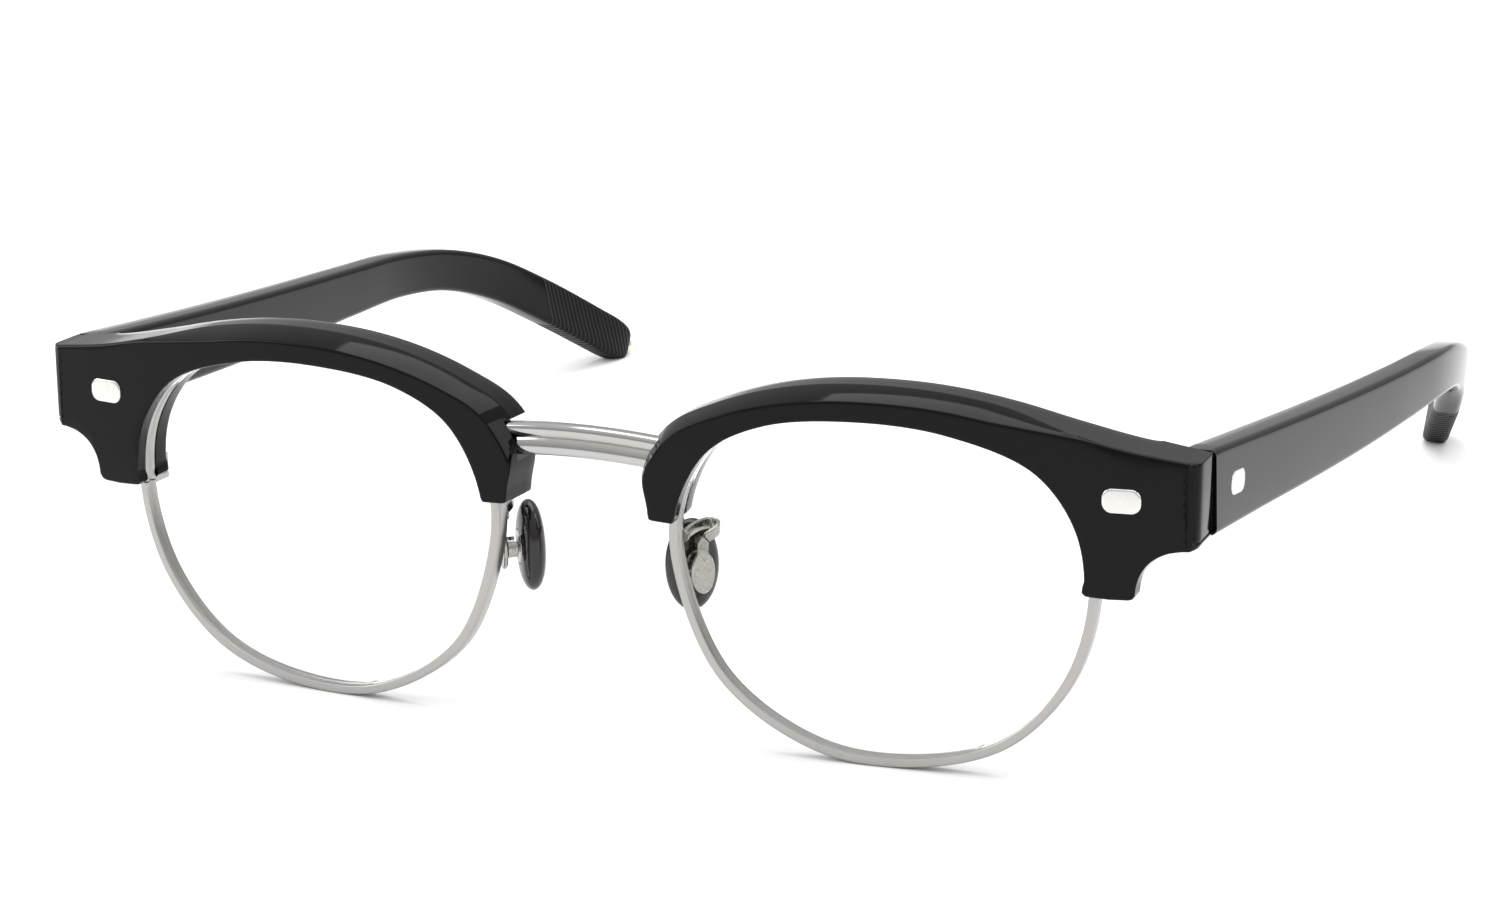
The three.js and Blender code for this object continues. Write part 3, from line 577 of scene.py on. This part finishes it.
# ---------------------------------------------------------------- rim, lens
def build_rim(side, mirror):
    face, depth, r = RIM_FACE, RIM_DEPTH, 0.18
    profile = [(0, 0.3)]
    profile += arc((0.3, 0.3), 0.3, 210, 270, 2)
    profile += [(0.55, -0.0), (0.8, 0.0)]
    profile += arc((face - r, r), r, -60, 0, 2)
    profile += [(face, 0.62), (face - 0.45, 0.98), (face - 0.45, 1.02), (face, 1.38), (face, depth - 0.15)]
    profile += [(face - 0.15, depth), (0.3, depth), (0.08, depth - 0.08), (0, depth - 0.3)]
    rings = []
    for amount, w in profile:
        p = RIM + RIM_IN * amount
        rings.append(eye(p[:, 0], p[:, 1], w))
    sections = [np.array([ring[i] for ring in rings]) for i in range(len(RIM))]
    obj = mesh_object(f"rim_ring_{side}", *loft(sections, closed=True), mirror=mirror)
    lock_u0, lock_u1 = 23.95, 27.4
    carve(obj, [eye_box(lock_u0, lock_u1, -0.25, 2.75, 1.3, 5.3)], "UNION", mirror=mirror)
    carve(obj, [eye_box(20, 30, 0.42, 0.58, -1, 7), world_box(0, 90, -90, 90, -5, 0.0)], mirror=mirror)
    return finish_piece(obj, SATIN, "front", "satin_metal", f"rim_{side}")


def build_lens(side, mirror):
    edge = (RIM + RIM_IN * (RIM_FACE + 0.06))[::2]
    bevel = (RIM + RIM_IN * (RIM_FACE - 0.34))[::2]

    def ring(scale, w):
        return eye(edge[:, 0] * scale, edge[:, 1] * scale, w)

    sections = [ring(s, 0.25) for s in (0.01, 0.2, 0.4, 0.6, 0.8, 0.96, 1.0)]
    sections.append(ring(1.0, 0.78))
    sections.append(eye(bevel[:, 0], bevel[:, 1], 1.0))
    sections.append(ring(1.0, 1.22))
    sections += [ring(s, 1.9) for s in (1.0, 0.96, 0.8, 0.6, 0.4, 0.2, 0.01)]
    obj = mesh_object(f"lens_glass_{side}", *loft(sections), mirror=mirror)
    return finish_piece(obj, LENS, "front", "lens_clear", f"lens_{side}")


# ---------------------------------------------------------------- temple
TEMPLE = [
    (69.05, TEMPLE_FRONT_Y, 32.8, 9.55, 4.0), (69.2, 24, 30.75, 8.75, 4.0), (69.45, 42, 28.35, 8.0, 3.95),
    (69.7, 60, 26.15, 7.2, 3.85), (69.8, 76, 24.4, 6.4, 3.75), (69.5, 90, 22.8, 5.8, 3.6),
    (68.2, 101, 20.6, 5.6, 3.5), (65.9, 111.5, 16.6, 5.8, 3.45), (62.6, 121, 10.9, 5.9, 3.4),
    (58.2, 131, 3.77, 5.7, 3.4),
]


def splay(obj, mirror):
    """Turns a left temple piece further open about its hinge."""
    if not mirror:
        return
    pivot = Matrix.Translation(Vector(((X_SHIFT - HINGE_X) * MM, (HINGE_Y - Y_MID) * MM, 0)))
    obj.data.transform(pivot @ Matrix.Rotation(LEFT_SPLAY, 4, "Z") @ pivot.inverted())


TIP_RUN = 4.7            # the blunt tip goes this far past the last station


def build_temple(side, mirror):
    stations = spline(TEMPLE, 110)
    if not mirror:
        stations[0, 1] -= SEAM_CLOSE
    path = stations[:, :3].copy()
    path[:, 1] -= Y_MID
    tangent = np.gradient(path, axis=0)
    tangent /= np.linalg.norm(tangent, axis=1)[:, None]
    sections = []

    def place(i, width, height, run=0.0):
        t = tangent[i]
        side_dir = np.array([1.0, 0, 0]) - t * t[0]
        side_dir /= np.linalg.norm(side_dir)
        up = np.cross(side_dir, t)
        if i == 0:
            side_dir, up = np.array([1.0, 0, 0]), np.array([0, 0, 1.0])
        flat = rounded_rect(width, height, min(0.8, width * 0.45), 5)
        return path[i] + t * run + flat[:, :1] * side_dir + flat[:, 1:] * up

    for i in range(len(path)):
        sections.append(place(i, stations[i, 4], stations[i, 3]))
    last = len(path) - 1
    for k in range(1, 9):
        a = math.radians(90 * k / 9)
        scale = math.cos(a) ** 0.5
        width = stations[last, 4] * (0.4 + 0.6 * scale)
        height = stations[last, 3] * (0.3 + 0.7 * scale)
        sections.append(place(last, width, height, TIP_RUN * math.sin(a)))
    obj = mesh_object(f"temple_acetate_{side}", *loft(sections), mirror=mirror)
    z = EYE_Z
    hinge_x, hinge_y = HINGE_X, HINGE_Y - Y_MID
    clearance = [(0, HINGE_R + 0.2), (7.5, HINGE_R + 0.2)]
    carve(obj, [
        revolve(clearance, (hinge_x, hinge_y, z + 7.5), (hinge_x, hinge_y, z + 15), 48),
        world_box(60, 67.0, TEMPLE_FRONT_Y - 1 - Y_MID, 18.5 - Y_MID, z + 8.5, z + 13.5),
        world_box(0, 90, -90, 90, -5, 0.0),
    ], mirror=mirror)
    splay(obj, mirror)
    nodes = (f"temple_{side}", f"temple_core_wire_{side}")
    return finish_piece(obj, TEMPLE_ACETATE, f"temple_body_{side}", "acetate", *nodes)


# ---------------------------------------------------------------- bridge
def build_bridge():
    end = eye(-24.45, 11.4, 1.15)
    profile = [
        (0.62, -1.8), (0.85, -1.55), (0.97, -1.1), (0.9, -0.5), (0.62, -0.05), (0.5, 0.12), (0.62, 0.3),
        (0.88, 0.7),
        (0.95, 1.15), (0.85, 1.55), (0.62, 1.8), (-0.5, 1.8), (-0.8, 1.5), (-0.8, -1.5), (-0.5, -1.8),
    ]
    sections = []
    reach = 1.2
    for t in np.linspace(-reach, reach, 61):
        s = min(1.0, abs(t))
        rise, forward = 0.75 * (1 - s * s), 0.5 * (1 - s * s)
        centre = np.array([end[0] * t, end[1] - forward, end[2] + rise])
        sections.append(np.array([centre + np.array([0, -a, b]) for a, b in profile]))
    obj = mesh_object("bridge_bar", *loft(sections), sharp=50)
    return finish_piece(obj, POLISHED, "front", "polished_metal", "bridge")


# ---------------------------------------------------------------- nose pads
PAD_NORMAL = np.array([-math.cos(PAD_TURN), math.sin(PAD_TURN), 0])
PAD_SIDE = np.array([math.sin(PAD_TURN), math.cos(PAD_TURN), 0])
PAD_UP = np.array([0, 0, 1.0])


def pad_point(across, up, out):
    across, up, out = (np.asarray(a, float)[..., None] for a in np.broadcast_arrays(across, up, out))
    return eye(PAD_U, PAD_V, PAD_W) + across * PAD_SIDE + up * PAD_UP + out * PAD_NORMAL


def oval(width, height, steps=48):
    a = np.linspace(0, 2 * math.pi, steps, endpoint=False)
    return np.stack([width * np.cos(a), height * np.sin(a)], 1)


def pad_loft(outline, layers):
    """Layers are (scale, out) of one outline in the pad's own plane."""
    sections = []
    for scale, out in layers:
        flat = outline * scale
        sections.append(pad_point(flat[:, 0], flat[:, 1], out))
    return loft(sections)


def rounded_plate(outline, low, high, edge):
    """Plate in the pad's plane with softened edges."""
    reach = np.abs(outline).max()
    small = 1 - edge / reach
    return pad_loft(outline, [(small, low), (1, low + edge), (1, high - edge), (small, high)])


def build_pad(side, mirror):
    half = PAD_THICK / 2
    layers = []
    for k in range(15):
        a = math.radians(-82 + 164 * k / 14)
        layers.append((math.cos(a) ** 0.62, half * math.sin(a)))
    body = pad_loft(oval(PAD_WIDTH / 2, PAD_HEIGHT / 2, 64), layers)
    obj = mesh_object(f"pad_horn_{side}", *body, sharp=60, mirror=mirror)
    carve(obj, [rounded_plate(oval(1.36, 2.1), -half - 1, -half + 0.6, 0.05)], mirror=mirror, sharp=50)
    return finish_piece(obj, HORN, f"nose_pad_body_{side}", "pad_horn", f"nose_pad_{side}")


def build_pad_insert(side, mirror):
    plate = rounded_plate(oval(1.3, 2.04), BOX_OUT - 0.02, BOX_OUT + 0.56, 0.12)
    obj = mesh_object(f"pad_lug_{side}", *plate, mirror=mirror)
    pin_at = BOX_OUT + PIN_OUT
    lug = pad_loft(oval(0.55, 0.45), [(0.8, pin_at - 0.33), (1, pin_at - 0.2), (1, BOX_OUT + 0.1)])
    carve(obj, [lug], "UNION", mirror=mirror)
    return finish_piece(obj, STEEL, f"nose_pad_body_{side}", "steel", f"pad_insert_{side}")


def build_pad_box(side, mirror):
    floor = BOX_OUT - 0.25 - BOX_DEEP
    plate = rounded_plate(oval(1.2, 1.25), floor, BOX_OUT - 0.25, 0.1)
    obj = mesh_object(f"pad_holder_{side}", *plate, mirror=mirror)
    flat = np.array([(-0.66, -1.6), (0.66, -1.6), (0.66, 1.6), (-0.66, 1.6)])
    hollow = loft([pad_point(flat[:, 0], flat[:, 1], out) for out in (floor + 0.25, BOX_OUT + 1)])
    carve(obj, [hollow], mirror=mirror)
    return finish_piece(obj, NICKEL, "front", "polished_metal", f"pad_box_{side}")


def build_pad_pin(side, mirror):
    start, end = pad_point(-1.25, 0, BOX_OUT + PIN_OUT), pad_point(1.62, 0, BOX_OUT + PIN_OUT)
    profile = [(0, 0.15), (0.05, 0.2), (2.49, 0.2)]
    profile += [(2.5, 0.45), (2.56, 0.5), (2.75, 0.48), (2.84, 0.36), (2.87, 0.1)]
    obj = mesh_object(f"pad_rivet_{side}", *revolve(profile, start, end), sharp=40, mirror=mirror)
    return finish_piece(obj, STEEL, "front", "steel", f"pad_pin_{side}")


def build_pad_arm(side, mirror):
    plate_out = BOX_OUT - 0.27 - BOX_DEEP
    path = np.array([
        eye(-24.0, 2.0, 2.35), eye(-23.75, 2.3, 3.6), eye(-23.3, 2.45, 5.4), eye(-22.6, 2.4, 6.7),
        eye(-21.6, 2.25, 6.6), eye(-21.35, 2.0, 5.6), pad_point(0.1, 3.9, plate_out - 0.75),
        pad_point(0, 2.6, plate_out - 0.35), pad_point(0, 1.6, plate_out - 0.3),
    ])
    path = spline(path, 90)
    tangent = np.gradient(path, axis=0)
    tangent /= np.linalg.norm(tangent, axis=1)[:, None]
    flat = rounded_rect(0.48, 1.28, 0.16, 4)
    sections = []
    for k, (centre, along_dir) in enumerate(zip(path, tangent)):
        blend = smoothstep(k / (len(path) - 1), 0.62, 0.9)
        across = PAD_UP * (1 - blend) + PAD_SIDE * blend
        across = across - along_dir * (across @ along_dir)
        across /= np.linalg.norm(across)
        thin = np.cross(along_dir, across)
        sections.append(centre + flat[:, :1] * thin + flat[:, 1:] * across)
    obj = mesh_object(f"pad_ribbon_{side}", *loft(sections), mirror=mirror)
    solder = [(0, 0.7), (0.1, 0.75), (0.45, 0.75), (0.57, 0.6)]
    foot = revolve(solder, eye(-24.1, 2.0, 2.03), eye(-24.1, 2.0, 2.6))
    plate = rounded_plate(oval(1.4, 2.5), plate_out - 0.5, plate_out, 0.14)
    carve(obj, [plate, foot], "UNION", mirror=mirror)
    return finish_piece(obj, NICKEL, "front", "polished_metal", f"pad_arm_{side}")


# ---------------------------------------------------------------- plaques, lock screw, tip bead
def plaque_mesh(centre, across, upward, inside, name, mirror):
    flat = rounded_rect(PLAQUE_W, PLAQUE_H, PLAQUE_R, 8)
    top = -PLAQUE_PROUD
    layers = [(0.86, top), (0.95, top + 0.02), (0.99, top + 0.08), (1, 0), (1, PLAQUE_THICK)]
    sections = [centre + k * (flat[:, :1] * across + flat[:, 1:] * upward) + w * inside for k, w in layers]
    return mesh_object(name, *loft(sections), sharp=50, mirror=mirror)


def build_plaques(side, mirror):
    centre = eye(27.4, 11.5, -LIP)
    across = eye(29.4, 11.5, -LIP) - eye(25.4, 11.5, -LIP)
    upward = eye(27.4, 13.5, -LIP) - eye(27.4, 9.5, -LIP)
    across, upward = across / np.linalg.norm(across), upward / np.linalg.norm(upward)
    inside = np.cross(upward, across)
    inside = inside if inside[1] > 0 else -inside
    obj = plaque_mesh(centre, across, upward, inside, f"plaque_brow_{side}", mirror)
    finish_piece(obj, PLAQUE_METAL, "front", "polished_metal", f"front_plaque_{side}")
    slope = np.array([0.006, 1, -0.145])
    slope /= np.linalg.norm(slope)
    rise = np.array([0, 0.145, 1]) / np.linalg.norm([0.145, 1])
    inside = np.array([-1.0, 0.006, 0])
    middle = np.array([71.05, 15.2 - Y_MID, 32.15])
    obj = plaque_mesh(middle, slope, rise, inside, f"plaque_temple_{side}", mirror)
    splay(obj, mirror)
    finish_piece(obj, PLAQUE_METAL, f"temple_body_{side}", "polished_metal", f"temple_plaque_{side}")


def build_lock_screw(side, mirror):
    profile = [(0, 0.6), (0.08, 0.85), (0.2, 0.95), (0.5, 0.95), (0.51, 0.5), (2.6, 0.5)]
    screw = revolve(profile, eye(26, -0.75, 3.7), eye(26, 1.9, 3.7))
    obj = mesh_object(f"lock_screw_{side}", *screw, mirror=mirror)
    carve(obj, [revolve([(0, 0.15), (4, 0.15)], eye(24, -0.78, 3.7), eye(28, -0.78, 3.7), 12)], mirror=mirror)
    return finish_piece(obj, STEEL, "front", "steel", f"rim_lock_screw_{side}")


def build_bead(side, mirror):
    """Pale metal dome on the end of the temple tip."""
    path = spline(TEMPLE, 110)[:, :3]
    path[:, 1] -= Y_MID
    end = path[-1]
    aim = end - path[-3]
    aim /= np.linalg.norm(aim)
    profile = [(0, 1.0), (0.6, 1.25), (1.0, 1.2), (1.35, 0.98), (1.58, 0.6), (1.66, 0.15)]
    start = end + aim * 4.1
    low = 0.05 - (start[2] - 1.2)
    start = start + np.array([0, 0, max(0.0, low)])
    obj = mesh_object(f"tip_dome_{side}", *revolve(profile, start, start + aim), sharp=40, mirror=mirror)
    carve(obj, [world_box(0, 90, -90, 90, -5, 0.0)], mirror=mirror)
    splay(obj, mirror)
    return finish_piece(obj, BRASS, f"temple_body_{side}", "tip_brass", f"temple_tip_bead_{side}")


for side_name, is_left in SIDES:
    build_brow(side_name, is_left)
    build_rim(side_name, is_left)
    build_lens(side_name, is_left)
    build_temple(side_name, is_left)
    for build in (build_pad, build_pad_insert, build_pad_box, build_pad_pin, build_pad_arm, build_plaques,
                  build_lock_screw, build_bead):
        build(side_name, is_left)
build_bridge()

# CAD nodes that stay as they are get their finish here
KEPT = {"front_hinge_leaf": STEEL, "hinge_screw": STEEL, "temple_hinge_leaf": STEEL}
for base, material in KEPT.items():
    for side_name, _ in SIDES:
        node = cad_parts[f"{base}_{side_name}"]
        node.data.materials.clear()
        node.data.materials.append(material)

# ---------------------------------------------------------------- floor, lights, camera
FLOOR_SIZE = 3.0


def build_floor():
    bm = bmesh.new()
    bmesh.ops.create_grid(bm, x_segments=8, y_segments=8, size=FLOOR_SIZE)
    mesh = bpy.data.meshes.new("floor")
    bm.to_mesh(mesh)
    bm.free()
    obj = bpy.data.objects.new("floor", mesh)
    bpy.context.scene.collection.objects.link(obj)
    material, nodes, links, bsdf = new_material("floor_white")
    bsdf.inputs["Base Color"].default_value = (0.93, 0.93, 0.93, 1)
    bsdf.inputs["Roughness"].default_value = 0.7
    bsdf.inputs["Specular IOR Level"].default_value = 0.2
    obj.data.materials.append(material)


build_floor()


def area_light(name, place, target, size, power, size_y=None):
    data = bpy.data.lights.new(name, "AREA")
    data.energy = power
    data.size = size
    if size_y:
        data.shape = "RECTANGLE"
        data.size_y = size_y
    obj = bpy.data.objects.new(name, data)
    bpy.context.scene.collection.objects.link(obj)
    obj.location = place
    aim = Vector(target) - Vector(place)
    obj.rotation_euler = aim.to_track_quat("-Z", "Y").to_euler()
    return obj


area_light("top_softbox", (0.0, 0.05, 0.9), (0, 0, 0), 0.9, 5.2, 0.7)
area_light("left_softbox", (-0.8, -0.35, 0.45), (0, 0, 0.02), 0.6, 3.0, 0.5)
area_light("right_softbox", (0.8, -0.1, 0.5), (0, 0, 0.02), 0.5, 2.0, 0.6)

world = bpy.data.worlds.new("studio")
bpy.context.scene.world = world
world.use_nodes = True
HORIZON, ZENITH = 0.60, 1.0     # world brightness low down and overhead


def shade_world():
    """A dim horizon and a bright overhead, so dark gloss stays dark and edges catch light."""
    nodes, links = world.node_tree.nodes, world.node_tree.links
    coords = nodes.new("ShaderNodeTexCoord")
    parts = nodes.new("ShaderNodeSeparateXYZ")
    links.new(coords.outputs["Generated"], parts.inputs["Vector"])
    level = ramp(nodes, links, parts.outputs["Z"], HORIZON, ZENITH, 0.2, 0.75)
    links.new(level, nodes["Background"].inputs["Strength"])
    nodes["Background"].inputs["Color"].default_value = (1, 1, 1, 1)


shade_world()

# camera, from a perspective fit: azimuth, elevation and roll in degrees
AZ, EL, ROLL = 25.456, 17.624, -2.028
LENGTH_SCALE = 1.1244
DISTANCE = 466.0 * LENGTH_SCALE
TARGET = np.array([18.084 * LENGTH_SCALE + X_SHIFT, 0.27 - Y_MID, 11.734 * LENGTH_SCALE + EYE_Z])
FOCAL_PX = 4815.0
IMAGE_WIDTH = 1500.0
SENSOR = 36.0


def build_camera():
    az, el, roll = (math.radians(a) for a in (AZ, EL, ROLL))
    back = np.array([math.sin(az) * math.cos(el), -math.cos(az) * math.cos(el), math.sin(el)])
    right = np.array([math.cos(az), math.sin(az), 0])
    up = np.cross(back, right)
    r2 = right * math.cos(roll) + up * math.sin(roll)
    u2 = -right * math.sin(roll) + up * math.cos(roll)
    place = (TARGET + back * DISTANCE) * MM
    data = bpy.data.cameras.new("camera")
    data.sensor_width = SENSOR
    data.lens = FOCAL_PX * SENSOR / IMAGE_WIDTH
    data.clip_start = 0.01
    obj = bpy.data.objects.new("camera", data)
    bpy.context.scene.collection.objects.link(obj)
    m = Matrix.Identity(4)
    for i in range(3):
        m[i][0], m[i][1], m[i][2], m[i][3] = r2[i], u2[i], back[i], place[i]
    obj.matrix_world = m
    bpy.context.scene.camera = obj


build_camera()
bpy.context.scene.view_settings.view_transform = "Standard"
